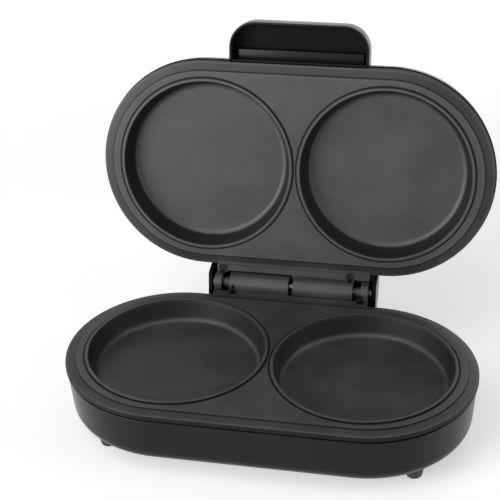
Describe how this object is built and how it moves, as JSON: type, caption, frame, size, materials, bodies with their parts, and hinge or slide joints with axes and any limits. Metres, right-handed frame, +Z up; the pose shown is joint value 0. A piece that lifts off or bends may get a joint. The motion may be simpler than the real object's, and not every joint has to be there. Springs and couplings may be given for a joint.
{
  "type": "electric omelette maker",
  "caption": "Countertop electric omelette maker with side-by-side round cooking bowls and a hinged lid with mirrored bowls, standing open.",
  "frame": {"origin": "on the tabletop, below the middle of the open object's bounding box", "axes": "+X along the long side, to the right of someone facing the handle side; +Y to the back, where the hinge is; +Z up"},
  "size_m": [0.3317, 0.2633, 0.2783],
  "materials": {
    "black_housing": "semi-gloss, smooth",
    "nonstick_coating": "satin charcoal non-stick coating, fine grain",
    "sheet_steel": "plain galvanised sheet",
    "zinc_screws": "bright zinc",
    "blackened_screws": "black oxide",
    "element_tube": "dull annealed tube",
    "hinge_steel": "dull ground steel",
    "spring_steel": "dark spring steel",
    "black_feet": "fine matt",
    "cream_moulding": "heat-proof moulding, matt",
    "white_sleeving": "woven glass sleeving",
    "lead_insulation": "silicone insulation, satin",
    "black_rubber": "matt",
    "red_lens": "clear-tinted gloss",
    "green_lens": "clear-tinted gloss",
    "clear_lamp": "clear",
    "board": "laminate board, satin"
  },
  "bodies": {
    "base": {"base_housing": "black_housing", "lower_plate": "nonstick_coating", "lower_heating_element": "element_tube", "lower_element_clamps": "sheet_steel", "lower_clamp_screws": "zinc_screws", "lower_heat_shield": "sheet_steel", "lower_shield_screws": "zinc_screws", "lower_flange_screws": "blackened_screws", "thermostat": "cream_moulding", "thermostat_screws": "zinc_screws", "thermal_fuse": "white_sleeving", "thermal_fuse_clip": "sheet_steel", "thermal_fuse_screw": "zinc_screws", "foot_screws": "zinc_screws", "hinge_pin": "hinge_steel", "hinge_pin_clips": "spring_steel", "terminal_block": "cream_moulding", "terminal_screws": "zinc_screws", "cord_inlet_bush": "black_rubber", "base_wiring": "lead_insulation", "hinge_wire_sleeve": "white_sleeving", "front_left_foot": "black_feet", "front_right_foot": "black_feet", "rear_left_foot": "black_feet", "rear_right_foot": "black_feet"},
    "lid": {"lid_housing": "black_housing", "lid_handle": "black_housing", "handle_screws": "zinc_screws", "lamp_board": "board", "lamp_board_screw": "zinc_screws", "indicator_lamps": "clear_lamp", "lid_wiring": "lead_insulation", "power_lamp_lens": "red_lens", "ready_lamp_lens": "green_lens", "upper_plate": "nonstick_coating", "upper_heating_element": "element_tube", "upper_element_clamps": "sheet_steel", "upper_clamp_screws": "zinc_screws", "upper_heat_shield": "sheet_steel", "upper_shield_screws": "zinc_screws", "upper_flange_screws": "blackened_screws"}
  },
  "joints": [
    {"name": "lid_hinge", "type": "hinge", "parent": "base", "child": "lid", "pos_m": [0, 0.0593, 0.0615], "axis": [1, 0, 0], "range_deg": [0, 102]}
  ]
}
